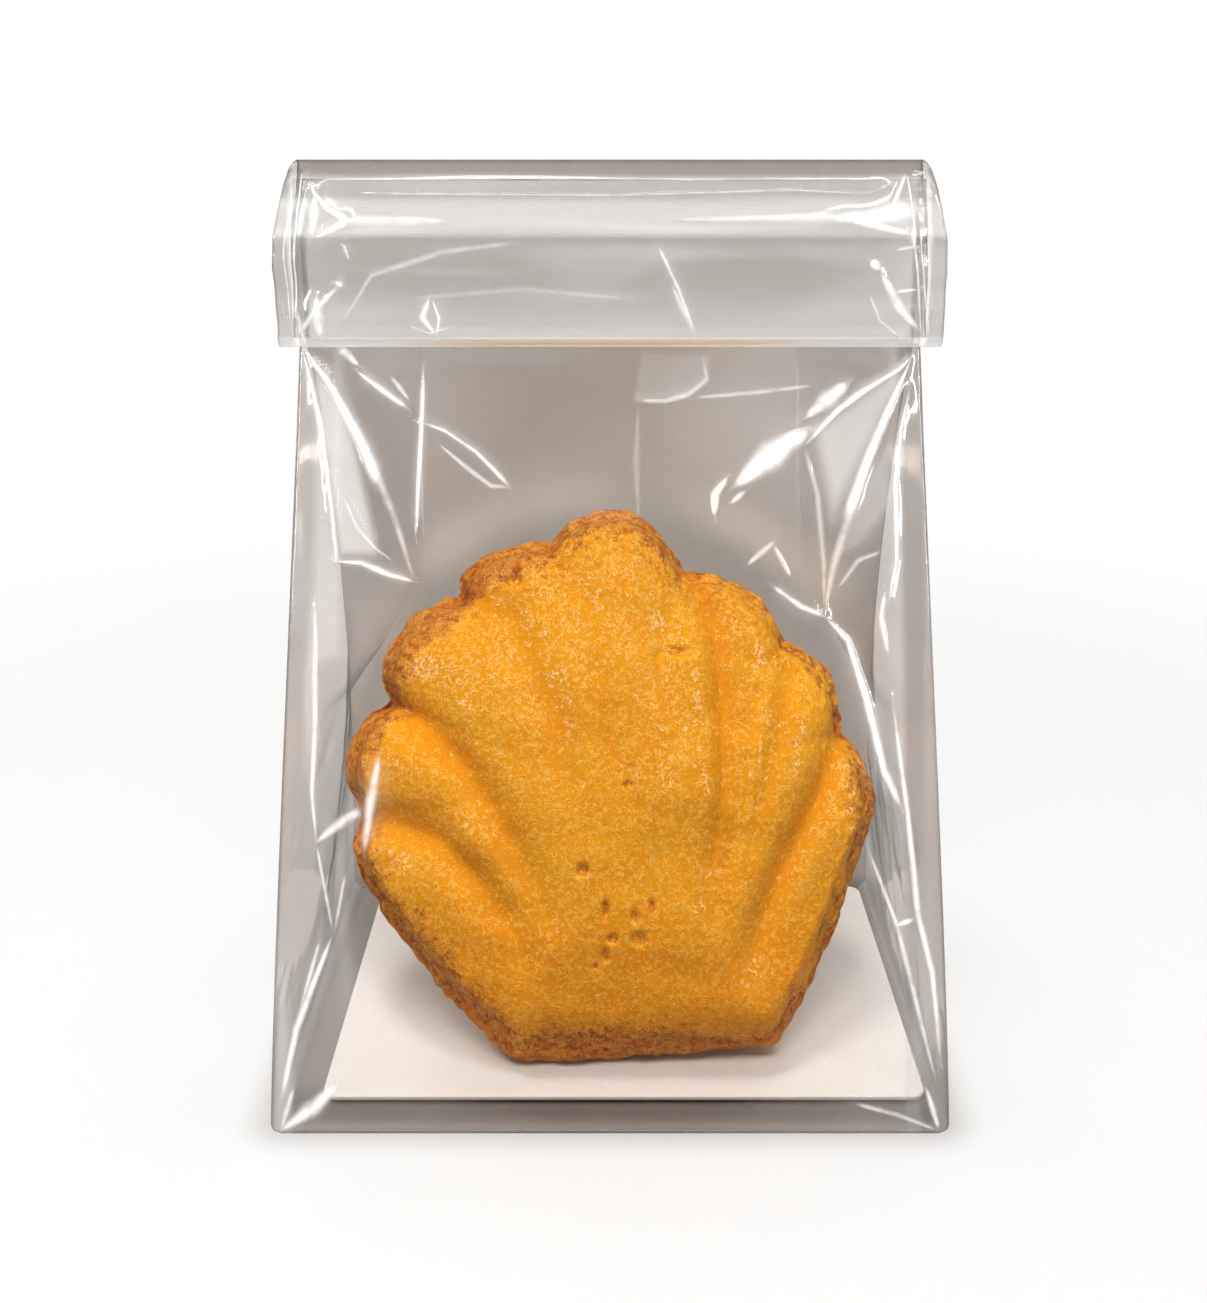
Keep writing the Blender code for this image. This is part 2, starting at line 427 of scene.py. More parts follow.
def makeCake(material):
    bm = bmesh.new()
    bmesh.ops.create_uvsphere(bm, u_segments=480, v_segments=184, radius=1)
    piece = pieceFrom(bm, "madeleine", material)
    ball = placesOf(piece.data)
    turn = np.arctan2(ball[:, 1], ball[:, 0])
    fall = np.arccos(np.clip(ball[:, 2], -1, 1)) / math.pi
    split = cakeSet["faceShare"]
    onBack = fall > split + 1e-4
    share = np.where(onBack, (1 - fall) / (1 - split), fall / split)
    share = np.where(onBack, np.sin(share * math.pi / 2), 1 - (1 - np.clip(share, 0, 1)) ** 1.15)
    radius = outlineRadii(turn)
    inward = (1 - share) * radius
    across = share * radius * np.cos(turn)
    up = share * radius * np.sin(turn) + cakeSet["centreUp"]
    height, grooveMark, poreMark = cakeShape(across, up, inward, radius, onBack)

    flat = np.stack([across, up, height], axis=1)
    swell = waviness(flat, 9.0, 1)
    lumps = waviness(flat, 2.6, 2)
    crumb = waviness(flat, 1.15, 3)
    rimShare = 1 - smoothRise(inward, 1.5, 5.0)
    rimShare = np.maximum(rimShare, 0.8 * smoothRise(-up, -9, -3))
    height = height + np.where(onBack, 0.3, 1) * (0.35 * swell + 0.1 * lumps) * smoothRise(inward, 0, 3)
    rough = np.where(onBack, 0.12, 0.05 + 0.34 * rimShare) * smoothRise(inward, -0.2, 0.5)
    pits = waviness(flat, 0.85, 5)
    height = height - rough * np.abs(crumb) - 0.7 * rough * smoothRise(pits, 0.3, 1.4)
    uneven = 0.2 + 0.15 * smoothRise(up, 35, 50)
    edge = 1 + (uneven * lumps + 0.18 * crumb) * (1 - smoothRise(inward, 0.5, 3)) / radius
    across = across * edge
    up = (up - cakeSet["centreUp"]) * edge + cakeSet["centreUp"]

    lean = math.radians(cakeSet["lean"])
    y = cakeSet["footY"] + up * math.sin(lean) - height * math.cos(lean)
    z = up * math.cos(lean) + height * math.sin(lean)
    z = np.maximum(z, cakeSet["restHeight"])
    setPlaces(piece.data, np.stack([across, y, z], axis=1) * mm)

    directions = [row[0] for row in cakeBorder]
    degrees = np.degrees(turn)
    width = np.interp(degrees, directions, [row[1] for row in cakeBorder])
    brown = np.interp(degrees, directions, [row[2] for row in cakeBorder])
    held = np.interp(degrees, directions, [row[3] for row in cakeBorder])
    depthIn = (inward + 0.7 * swell + 0.8 * lumps + 0.6 * crumb) / width
    bake = brown * (1 - smoothRise((depthIn - held) / (1.05 - held), 0, 1))
    crown = smoothRise(-inward, -12, -2) * smoothRise(up, 52, 66)
    bake = np.maximum(bake, 0.42 * crown)
    bake = np.where(onBack, 0.55 + 0.25 * swell, bake)
    setMark(piece.data, "bake", np.clip(bake, 0, 1))
    setMark(piece.data, "groove", np.clip(grooveMark, 0, 1))
    setMark(piece.data, "pore", poreMark)
    print("madeleine ready")
    return piece


def makeCrumbMaterial():
    material, tree = newMaterial("golden crumb")
    place = millimetreCoordinates(tree)
    bake = addNode(tree, "ShaderNodeAttribute", attribute_name="bake").outputs["Fac"]
    groove = addNode(tree, "ShaderNodeAttribute", attribute_name="groove").outputs["Fac"]
    pore = addNode(tree, "ShaderNodeAttribute", attribute_name="pore").outputs["Fac"]

    patches = addNode(tree, "ShaderNodeTexNoise", {"Vector": place, "Scale": 0.16, "Detail": 3.0}).outputs["Fac"]
    fine = addNode(tree, "ShaderNodeTexNoise", {"Vector": place, "Scale": 1.3, "Detail": 4.0}).outputs["Fac"]
    grit = addNode(tree, "ShaderNodeTexNoise", {"Vector": place, "Scale": 3.5, "Detail": 2.0}).outputs["Fac"]

    # glossy squiggles: thin edges of warped cells, broken up by noise, and small bright beads; besides a coat they get
    # a painted highlight, a paler colour
    warp = addNode(tree, "ShaderNodeTexNoise", {"Vector": place, "Scale": 1.6, "Detail": 1.0}).outputs["Color"]
    shifted = addNode(tree, "ShaderNodeVectorMath", {0: warp, 1: (2.2, 2.2, 2.2), 2: place}, operation="MULTIPLY_ADD")
    cells = addNode(
        tree, "ShaderNodeTexVoronoi", {"Vector": shifted.outputs[0], "Scale": 1.25}, feature="DISTANCE_TO_EDGE"
    ).outputs["Distance"]
    line = stepNode(tree, cells, 0.05, 0.16, 1.0, 0.0)
    gate = addNode(tree, "ShaderNodeTexNoise", {"Vector": place, "Scale": 1.3, "Detail": 2.0}).outputs["Fac"]
    gate = mathNode(tree, "SUBTRACT", gate, mathNode(tree, "MULTIPLY", groove, 0.16))
    squiggle = mathNode(tree, "MULTIPLY", line, stepNode(tree, gate, 0.42, 0.52))
    beadCells = addNode(tree, "ShaderNodeTexVoronoi", {"Vector": place, "Scale": 2.5}, feature="F1")
    bead = stepNode(tree, beadCells.outputs["Distance"], 0.16, 0.34, 1.0, 0.0)
    chance = addNode(tree, "ShaderNodeSeparateColor", {"Color": beadCells.outputs["Color"]}).outputs[0]
    bead = mathNode(tree, "MULTIPLY", bead, stepNode(tree, chance, 0.5, 0.6))
    bright = mathNode(tree, "MAXIMUM", squiggle, bead)
    bright = mathNode(tree, "MULTIPLY", bright, stepNode(tree, bake, 0.3, 0.9, 1.0, 0.55))

    yellow = mixColour(tree, stepNode(tree, patches, 0.38, 0.62), (0.81, 0.35, 0.003, 1), (0.80, 0.31, 0.002, 1))
    # darker orange in the grooves: partly the crumb's own tone, partly painted shade in the hollows
    face = mixColour(tree, stepNode(tree, groove, 0.15, 0.85), yellow, (0.78, 0.305, 0.002, 1))
    face = mixColour(tree, stepNode(tree, fine, 0.44, 0.64, 0.0, 0.7), face, (0.77, 0.285, 0.001, 1))
    clumps = addNode(tree, "ShaderNodeTexNoise", {"Vector": place, "Scale": 0.7, "Detail": 3.0}).outputs["Fac"]
    # the rim's browns: the crust's own browning, and painted shade, as the darker brown falls where the clumps sink in
    # the bump below
    rim = mixColour(tree, stepNode(tree, clumps, 0.38, 0.64), (0.55, 0.19, 0.024, 1), (0.37, 0.085, 0.006, 1))
    browning = mathNode(tree, "ADD", bake, stepNode(tree, clumps, 0.3, 0.7, -0.15, 0.15))
    colour = mixColour(tree, stepNode(tree, browning, 0.05, 0.8), face, rim)
    # painted shade: the open pores are painted a darker amber inside
    hole = stepNode(tree, pore, 0.3, 0.62)
    colour = mixColour(tree, mathNode(tree, "MULTIPLY", hole, 0.8), colour, (0.60, 0.2, 0.001, 1))
    # painted highlight: the squiggles and beads are painted a pale yellow
    colour = mixColour(tree, mathNode(tree, "MULTIPLY", bright, 0.66), colour, (1.0, 0.62, 0.09, 1))
    # painted shade: a deeper, darker orange towards the foot, heights in mm
    height = addNode(tree, "ShaderNodeSeparateXYZ", {0: place}).outputs[2]
    colour = mixColour(tree, stepNode(tree, height, 8, 34, 0.75, 0.0), colour, (1.0, 0.84, 0.55, 1), "MULTIPLY")

    relief = mathNode(tree, "MULTIPLY", bright, 0.22)
    relief = mathNode(tree, "MULTIPLY_ADD", fine, 0.9, relief)
    relief = mathNode(tree, "MULTIPLY_ADD", grit, 0.35, relief)
    relief = mathNode(tree, "MULTIPLY_ADD", mathNode(tree, "MULTIPLY", clumps, bake), -2.2, relief)
    bump = addNode(tree, "ShaderNodeBump", {"Strength": 0.52, "Distance": 0.0003, "Height": relief})
    shader = addNode(tree, "ShaderNodeBsdfPrincipled", {"Base Color": colour, "Roughness": 0.6})
    shader.inputs["Specular IOR Level"].default_value = 0.06
    shader.inputs["Coat Roughness"].default_value = 0.22
    tree.links.new(mathNode(tree, "MULTIPLY", bright, 0.34), shader.inputs["Coat Weight"])
    tree.links.new(bump.outputs[0], shader.inputs["Normal"])
    addNode(tree, "ShaderNodeOutputMaterial", {"Surface": shader.outputs[0]})
    return material


# Card under the cake

cardSet = dict(width=78.0, depth=54.0, frontY=-25.5, middleX=1.8, top=1.2, thickness=0.55, corner=2.0)


def makeCard():
    material, tree = newMaterial("pale card")
    place = millimetreCoordinates(tree)
    fibre = addNode(tree, "ShaderNodeTexNoise", {"Vector": place, "Scale": 2.2, "Detail": 5.0}).outputs["Fac"]
    cloud = addNode(tree, "ShaderNodeTexNoise", {"Vector": place, "Scale": 0.12, "Detail": 2.0}).outputs["Fac"]
    colour = mixColour(tree, stepNode(tree, fibre, 0.3, 0.7), (0.73, 0.72, 0.71, 1), (0.78, 0.775, 0.765, 1))
    colour = mixColour(tree, stepNode(tree, cloud, 0.35, 0.65, 0, 0.35), colour, (0.72, 0.70, 0.685, 1))
    normal = addNode(tree, "ShaderNodeNewGeometry").outputs["Normal"]
    facing = addNode(tree, "ShaderNodeSeparateXYZ", {0: normal}).outputs[2]
    colour = mixColour(tree, stepNode(tree, facing, 0.2, 0.7), (0.62, 0.52, 0.42, 1), colour)
    bump = addNode(tree, "ShaderNodeBump", {"Strength": 0.25, "Distance": 0.0001, "Height": fibre})
    shader = addNode(tree, "ShaderNodeBsdfPrincipled", {"Base Color": colour, "Roughness": 0.72})
    tree.links.new(bump.outputs[0], shader.inputs["Normal"])
    addNode(tree, "ShaderNodeOutputMaterial", {"Surface": shader.outputs[0]})

    bm = bmesh.new()
    bmesh.ops.create_cube(bm, size=1)
    bmesh.ops.scale(bm, vec=(cardSet["width"], cardSet["depth"], cardSet["thickness"]), verts=bm.verts)
    upright = [edge for edge in bm.edges if abs(edge.verts[0].co.z - edge.verts[1].co.z) > 0.1]
    bmesh.ops.bevel(
        bm, geom=upright, offset=cardSet["corner"], offset_type="OFFSET", segments=6, profile=0.5,
        affect="EDGES", material=-1,
    )
    rims = [edge for edge in bm.edges if edge.is_manifold and edge.calc_face_angle() > 1.2]
    bmesh.ops.bevel(
        bm, geom=rims, offset=0.1, offset_type="OFFSET", segments=2, profile=0.5, affect="EDGES", material=-1,
    )
    middleY = cardSet["frontY"] + cardSet["depth"] / 2
    middleZ = cardSet["top"] - cardSet["thickness"] / 2
    bmesh.ops.translate(bm, vec=(cardSet["middleX"], middleY, middleZ), verts=bm.verts)
    bmesh.ops.scale(bm, vec=(mm, mm, mm), verts=bm.verts)
    card = pieceFrom(bm, "card", material)
    print("card ready")
    return card


# Film bag: the same outline as its solid, in mm; the shoulders lean in towards the neck

filmSet = dict(
    width=85.0,
    depth=62.0,
    neckHeight=95.0,
    neckWidth=79.6,
    neckFront=-1.0,
    neckBack=3.0,
    frontLean=1.35,
    backLean=2.2,
    taper=1.6,
    crown=2.0,
    cornerRound=1.3,
    thickness=0.05,
    panelTint=1.0,
    sideTint=0.04,
    gussetFold=0.5,     # half width of the bright line down a gusset's fold
    # painted sheen standing for reflections: shares of the soft pale clouds and of the streaks near the sides
    paintedSheenShare=0.08,
    paintedStreakShare=0.22,
    headerTint=0.38,
    # height, and how far in the gusset's middle fold lies there
    foldDepths=[(0, 0), (11.5, 0.3), (30, 2.6), (46, 4.6), (62, 14.3), (95, 15.8)],
)

# Folds that catch the light on the front panel. Each gives its places across and up, its half width at the start,
# the middle and the end, how white its painted highlight is, how far it stands out, and its layer: folds that meet are
# on different ones.
frontFolds = [
    # left shoulder
    ([(-39.2, 94.4), (-35.2, 89.4), (-31.4, 83), (-28.9, 77.8)], (0.2, 0.75, 1.1), 1.0, 0.6, 0),
    ([(-30.2, 81), (-27, 74), (-24.6, 67.2)], (0.9, 0.6, 0.3), 0.38, 0.3, 2),
    ([(-38.6, 93.4), (-36, 90.8), (-33.2, 86.5)], (0.15, 0.3, 0.2), 0.9, 0.2, 1),
    ([(-39.4, 94.2), (-36.9, 86), (-35.8, 79.5), (-35.2, 75)], (0.15, 0.36, 0.2), 1.0, 0.4, 2),
    ([(-35.7, 79), (-34.9, 73.5), (-34.3, 69)], (0.2, 0.25, 0.2), 0.55, 0.2, 0),
    ([(-33.6, 76.6), (-31.8, 73), (-29.4, 70.6), (-27, 69)], (0.2, 0.3, 0.2), 0.28, 0.1, 0),
    ([(-23.8, 91.5), (-23.9, 86), (-24.2, 79), (-24.4, 72)], (0.2, 0.36, 0.2), 0.95, 0.2, 1),
    ([(-34.6, 69.2), (-31.2, 69), (-27.6, 67.6), (-24.4, 66.9)], (0.15, 0.42, 0.2), 1.0, 0.4, 1),
    ([(-32.3, 91.6), (-29.9, 90), (-27.7, 88.5), (-25.7, 87.2)], (0.2, 0.42, 0.25), 1.0, 0.3, 2),
    ([(-34.6, 94.4), (-32.2, 92.3)], (0.8, 0.7, 0.3), 0.6, 0.1, 1),
    ([(-28, 91), (-25.6, 88.2)], (0.3, 0.5, 0.2), 0.45, 0.1, 0),
    ([(-24, 85.6), (-21, 84.6), (-17, 82.1), (-14.7, 80), (-12.6, 77.9)], (0.25, 0.3, 0.4), 0.75, 0.3, 0),
    ([(-12.6, 77.9), (-15, 78), (-18.2, 80.2), (-21.8, 83)], (0.35, 0.5, 0.2), 0.42, -0.1, 1),
    # right shoulder
    ([(15.6, 77.9), (19, 80.6), (22.2, 82.9), (25.4, 84.6)], (0.5, 2.3, 0.7), 1.0, 0.7, 0),
    ([(24.8, 86), (27.4, 88), (30.4, 90.2)], (0.3, 1.5, 0.7), 0.7, 0.3, 1),
    ([(38.9, 93.8), (37, 92), (32.3, 89.3), (29, 87), (24.6, 82.8)], (0.15, 0.48, 0.3), 1.0, 0.4, 2),
    ([(13.1, 74.5), (13.2, 77), (14.8, 79)], (0.3, 0.75, 0.3), 0.9, 0.3, 1),
    ([(15.2, 76), (17, 77.4)], (0.3, 0.6, 0.3), 0.8, 0.2, 2),
    ([(38.6, 93.4), (35.4, 87.2), (32.9, 81.6), (29.6, 73.6)], (0.15, 0.75, 1.0), 1.0, 0.6, 0),
    ([(30.8, 76.6), (27.9, 68.2), (26.8, 63)], (0.8, 0.8, 0.3), 0.42, 0.2, 1),
    ([(38.2, 89.8), (36.9, 84.6), (36.2, 78), (36.1, 69), (34.8, 64)], (0.15, 0.36, 0.2), 0.9, 0.4, 1),
    ([(24.6, 82.8), (26.2, 77), (26.8, 69), (26.8, 63.5)], (0.4, 0.6, 0.3), 0.32, 0.2, 2),
    ([(20.4, 66.3), (23.9, 63.9), (26.8, 62.8)], (0.3, 0.45, 0.35), 0.75, 0.3, 2),
    ([(26.7, 62.9), (29.7, 59.9), (32, 53), (34, 44.6), (36.2, 40)], (0.3, 0.7, 0.4), 1.0, 0.4, 0),
    ([(34.2, 70.2), (31.2, 69.2), (28.6, 66)], (0.3, 0.5, 0.3), 0.35, 0.1, 2),
    ([(20.6, 71.4), (17.2, 68.8)], (0.3, 0.6, 0.3), 0.5, 0.1, 0),
    ([(20.6, 71), (22.6, 67.4)], (0.3, 0.5, 0.3), 0.45, 0.1, 1),
    ([(3.6, 88), (7, 88), (10, 88.8), (12.4, 90.6), (12, 92.8)], (0.3, 0.5, 0.4), 0.35, 0.2, 1),
    ([(10.4, 88.4), (18, 89), (26.2, 89.9)], (0.3, 0.4, 0.3), 0.3, 0.1, 2),
    ([(3.6, 88), (3.3, 80), (3.6, 74)], (0.3, 0.7, 0.3), 0.15, 0.2, 0),
    # sides
    ([(-36.9, 64), (-36.7, 50), (-37, 42), (-36.4, 36)], (0.3, 0.45, 0.25), 0.75, 0.35, 0),
    ([(-36.4, 36.2), (-33, 38.8), (-30.8, 40.2)], (0.3, 0.9, 0.8), 0.6, 0.3, 1),
    ([(-28.6, 46.6), (-29.7, 41), (-30.4, 35.2)], (0.4, 1.0, 0.5), 0.62, 0.4, 2),
    ([(-36.4, 36), (-34.4, 25.4)], (0.3, 0.35, 0.3), 0.5, 0.2, 2),
    ([(-32.8, 32.4), (-34.2, 25.4)], (0.3, 0.35, 0.3), 0.4, 0.1, 0),
    ([(-34.3, 25.3), (-37, 18.7), (-39, 13.5), (-40.9, 5)], (0.3, 0.6, 0.4), 0.8, 0.3, 1),
    ([(-36, 24.4), (-38.5, 15.8)], (0.3, 0.45, 0.3), 0.5, 0.2, 2),
    ([(34.5, 65.4), (34, 62.4), (34.8, 58)], (0.25, 0.5, 0.25), 0.7, 0.2, 2),
    ([(35.2, 53), (37, 39), (38.1, 27.8), (39.9, 20.7), (41.2, 9)], (0.3, 0.55, 0.4), 0.75, 0.35, 1),
    ([(31.6, 36.4), (35.5, 26.5), (38.1, 16.4), (40.6, 7)], (0.3, 0.5, 0.3), 0.5, 0.3, 2),
    ([(35.5, 26.4), (37.6, 27.1)], (0.25, 0.5, 0.25), 0.8, 0.2, 0),
    # bottom corners
    ([(-41.2, 0.4), (-37, 3.6), (-34.2, 6.3)], (0.3, 1.5, 0.6), 0.9, 0.3, 0),
    ([(-41.2, 0.5), (-39.5, 6)], (0.3, 0.5, 0.3), 0.5, 0.2, 2),
    ([(30.4, 4.2), (36, 2.6), (41.3, 0.3)], (0.4, 0.5, 0.3), 0.5, 0.2, 0),
    ([(41.2, 0.5), (39.4, 6.2)], (0.3, 0.6, 0.3), 0.7, 0.2, 1),
]

# Facets between the folds that are painted paler, a painted reflection: corners going clockwise, how pale, and how
# soft the edge is
frontFacets = [
    ([(-38.8, 93.6), (-33.4, 86.4), (-29.2, 70), (-34.5, 70), (-36, 80)], 0.36, 1.6),
    ([(-36.9, 79), (-34.2, 70), (-33.8, 58), (-37, 57)], 0.12, 1.2),
    ([(26, 84.6), (38.6, 93.2), (33.4, 84), (28.4, 73.5)], 0.27, 2.6),
    ([(26.6, 65), (29.5, 73), (35.6, 84), (35.8, 73), (31.5, 71)], 0.14, 1.6),
    ([(3.2, 88.2), (4, 94), (12.8, 93.6), (12.6, 90.3), (9.2, 88.3)], 0.07, 0.8),
]

headerFolds = [
    # left end
    ([(-36.9, 115.4), (-36.3, 114), (-34.6, 112.1), (-32.2, 110.9)], (0.2, 0.35, 0.6), 0.95, 0.3, 0),
    ([(-36.2, 113.6), (-36.3, 109.4)], (0.3, 0.7, 0.3), 0.9, 0.4, 1),
    ([(-37.4, 113.4), (-38, 109)], (0.25, 0.5, 0.3), 0.75, 0.3, 2),
    ([(-32.2, 110.7), (-35.8, 108.8)], (0.7, 0.45, 0.2), 0.85, 0.3, 2),
    ([(-33.6, 110.7), (-29, 110.6), (-20, 110.6)], (0.6, 0.9, 0.4), 0.25, 0.1, 1),
    ([(-32.6, 108), (-32, 106.2)], (0.2, 0.3, 0.2), 0.7, 0.2, 0),
    ([(-33.8, 103.3), (-32.8, 103)], (0.3, 0.5, 0.3), 1.0, 0.3, 0),
    ([(-38.9, 96.8), (-36.1, 100.2), (-33.3, 103.1)], (0.5, 0.6, 0.3), 0.7, 0.3, 1),
    ([(-36.2, 101.6), (-36.1, 96.6)], (0.3, 1.1, 0.4), 0.85, 0.4, 2),
    ([(-38.8, 100), (-38.2, 96.2)], (0.3, 0.6, 0.3), 0.8, 0.3, 0),
    ([(-33.4, 98), (-29.3, 104.2), (-20.4, 107), (-11, 108.2)], (0.3, 0.6, 0.4), 0.35, 0.3, 2),
    # middle
    ([(-22.2, 101.6), (-23.2, 99), (-21.7, 96.8)], (0.15, 0.6, 0.2), 0.95, 0.4, 0),
    ([(-22, 101.4), (-21.2, 98.8), (-21.6, 96.8)], (0.15, 0.3, 0.2), 0.85, -0.3, 1),
    ([(-25, 98), (-22.4, 97), (-19.6, 97.9)], (0.2, 0.25, 0.2), 0.5, 0.1, 2),
    ([(5.8, 107.9), (8.4, 102.6), (10.6, 96.8)], (0.25, 0.35, 0.35), 0.75, 0.4, 0),
    ([(7.6, 103), (9.4, 99.4), (10.5, 97)], (0.2, 0.7, 0.3), 0.6, -0.3, 1),
    ([(-26, 101.2), (-11, 102.5), (4, 101.2)], (0.4, 0.6, 0.4), 0.2, 0.15, 2),
    ([(-33, 113.9), (0, 113.7), (23, 114.3), (32.2, 113.8), (36.4, 116)], (0.2, 0.25, 0.2), 0.3, 0.1, 0),
    # right end
    ([(8, 110.8), (20, 110.9), (30, 111.2)], (0.2, 0.5, 1.0), 0.25, 0.1, 1),
    ([(27, 111), (32, 111.2), (37, 112)], (0.6, 1.1, 1.7), 0.85, 0.4, 2),
    ([(29, 111), (36.6, 109.2)], (0.6, 0.6, 0.3), 0.8, 0.3, 1),
    ([(36.4, 116), (34.6, 112.4)], (0.2, 0.35, 0.3), 0.8, 0.3, 1),
    ([(32, 106), (33, 104.9)], (0.4, 0.7, 0.4), 1.0, 0.3, 0),
    ([(33.2, 104.6), (35.9, 100), (38.2, 97.6)], (0.3, 0.85, 0.4), 0.95, 0.4, 1),
    ([(35.2, 102.2), (37.6, 102.5)], (0.2, 0.35, 0.2), 0.8, 0.2, 2),
    ([(35, 107.2), (37.9, 107.8)], (0.2, 0.35, 0.2), 0.7, 0.2, 0),
    ([(32, 102), (33.5, 98.6), (36, 96.6)], (0.3, 0.35, 0.3), 0.4, 0.2, 2),
    # edges of the flaps inside the ends
    ([(-37.9, 117.3), (-38.6, 107.2), (-39.1, 95.6)], (0.12, 0.17, 0.12), 0.75, 0.1, 0),
    ([(-38.9, 115.4), (-39.9, 107.2), (-39.7, 97)], (0.12, 0.15, 0.12), 0.65, 0.1, 1),
    ([(36.6, 117.3), (37.4, 107.2), (38.8, 95.6)], (0.12, 0.17, 0.12), 0.75, 0.1, 0),
    ([(38.3, 115.4), (37.9, 109), (38.9, 101), (39.9, 96.2)], (0.12, 0.15, 0.12), 0.65, 0.1, 2),
]


def shoulder(height):
    # half width, front and back of the bag at a height
    share = np.clip(height / filmSet["neckHeight"], 0, 1)
    low = np.clip(1 - height / filmSet["cornerRound"], 0, 1)
    half = filmSet["neckWidth"] + (filmSet["width"] - filmSet["neckWidth"]) * (1 - share) ** filmSet["taper"]
    front = -filmSet["depth"] / 2 + (filmSet["neckFront"] + filmSet["depth"] / 2) * share ** filmSet["frontLean"]
    back = filmSet["depth"] / 2 + (filmSet["neckBack"] - filmSet["depth"] / 2) * share ** filmSet["backLean"]
    half = half / 2 - filmSet["cornerRound"] * (1 - np.sqrt(1 - low**2))
    return half, front, back, share


def paintedFacetSheen(across, up, facets):
    paintedSheen = np.zeros(across.shape)
    for corners, paintedPale, soft in facets:
        inside = np.full(across.shape, 1e9)
        for (ax, ay), (bx, by) in zip(corners, corners[1:] + corners[:1]):
            gap = ((by - ay) * (across - ax) - (bx - ax) * (up - ay)) / math.dist((ax, ay), (bx, by))
            inside = np.minimum(inside, gap)
        paintedSheen = np.maximum(paintedSheen, paintedPale * smoothRise(inside, -0.5 * soft, 0.5 * soft))
    return paintedSheen


def foldMarks(across, up, folds):
    # how far the folds stand out, and for each layer the distance to its nearest fold as a share of the half
    # width, minus on one side, and how white that fold's painted highlight is there; also a painted glow round the
    # folds
    total = np.zeros(across.shape)
    paintedGlow = np.zeros(across.shape)
    marks = {}
    for layer in range(3):
        nearest = np.full(across.shape, 1e9)
        white = np.zeros(across.shape)
        signed = np.full(across.shape, 6.0)
        for places, widths, whiteness, height, ownLayer in folds:
            if ownLayer != layer:
                continue
            distance, along = distanceToLine(across, up, places)
            side = sideOfLine(across, up, places)
            width = np.interp(along, [0, 0.5, 1], widths)
            total += height * np.exp(-np.sqrt((distance / width) ** 2 + 0.1) * 0.8)
            share = distance / width
            reach = np.clip(np.sin(np.pi * np.clip(along, 0.02, 0.98)) * 2.5, 0, 1)
            paintedGlow = np.maximum(paintedGlow, 0.3 * whiteness**2 * reach * np.exp(-distance / (0.5 + 0.6 * width)))
            closer = share < nearest
            near = distance < np.maximum(1.6 * width, 0.95)
            white = np.where(closer, whiteness * reach * near, white)
            signed = np.where(closer, np.sign(side) * np.minimum(share, 6), signed)
            nearest = np.where(closer, share, nearest)
        marks["fold" + str(layer)] = signed
        marks["white" + str(layer)] = white
    marks["paintedSheen"] = paintedGlow
    return total, marks


def frontPlace(grid):
    height = (grid[:, 1] + 1) / 2 * filmSet["neckHeight"]
    half, front, _, share = shoulder(height)
    across = grid[:, 0] * half
    belly = np.sin(np.pi * share) ** 2 * np.cos(grid[:, 0] * np.pi / 2)
    edge = 1 - np.abs(grid[:, 0])
    hold = smoothRise(edge, 0, 0.05) * smoothRise(height, 0, 4) * smoothRise(95 - height, 0, 3)
    flat = np.stack([across, height, height * 0], axis=-1)
    waves = 0.35 * waviness(flat, 26.0, 11) + 0.1 * waviness(flat, 9.0, 12)
    corner = smoothRise(np.abs(across) / 40 + height / 95, 1.35, 1.9)
    side = smoothRise(np.abs(across), 30, 39)
    waves += (0.14 * corner + 0.1 * side) * crumple(flat, 9.0, 13)
    folds, marks = foldMarks(across, height, frontFolds)
    y = front - filmSet["crown"] * belly - (waves + folds) * hold
    marks["tint"] = np.full(across.shape, filmSet["panelTint"])
    marks["rim"] = np.maximum(1 - smoothRise(edge * half, 0, 0.5), 1 - smoothRise(height, 0, 0.6))
    strip = 0.22 + 0.26 * smoothRise(height, 22, 34) + 0.06 * smoothRise(height, 66, 76)
    marks["rim"] = np.maximum(marks["rim"], strip * smoothRise(across, 36.2, 37.4))
    marks["rim"] = np.maximum(marks["rim"], 0.2 * smoothRise(-across, 37, 38) * smoothRise(height, 40, 60))
    # the film in front of the cake stays clear; just above it a soft warm glow is painted, a painted reflection of the
    # cake
    clear = smoothRise(np.hypot(across, 0.93 * (height - 38)), 32.5, 37.5)
    halo = [(-20, 69), (-9, 73.5), (0, 78), (10, 74.5), (20, 70), (26, 66)]
    distance, _ = distanceToLine(across, height, halo)
    paintedGlow = 0.16 * np.exp(-((distance / 6) ** 2)) * clear * (0.8 + 0.35 * waviness(flat, 9.0, 16))
    # painted reflections: soft pale clouds, streaks towards the sides, a faint sheen round the middle, and the painted
    # facets
    cloud = filmSet["paintedSheenShare"] * smoothRise(waviness(flat, 14.0, 14), -0.4, 1.6) * clear
    streaks = waviness(np.stack([across, height * 0.07, height * 0], axis=-1), 2.0, 15)
    streaks = filmSet["paintedStreakShare"] * smoothRise(streaks, 0.1, 1.5) * smoothRise(np.abs(across), 31, 36)
    streaks = streaks * np.where(across > 0, 0.4, 1) + 0.05 * smoothRise(np.abs(across), 6, 26) * clear
    marks["paintedSheen"] = np.maximum(marks["paintedSheen"], cloud + streaks + paintedFacetSheen(across, height, frontFacets))
    marks["paintedSheen"] = np.maximum(marks["paintedSheen"], paintedGlow)
    marks["paintedWarmReflection"] = 2.4 * paintedGlow
    return np.stack([across, y, height], axis=1), marks


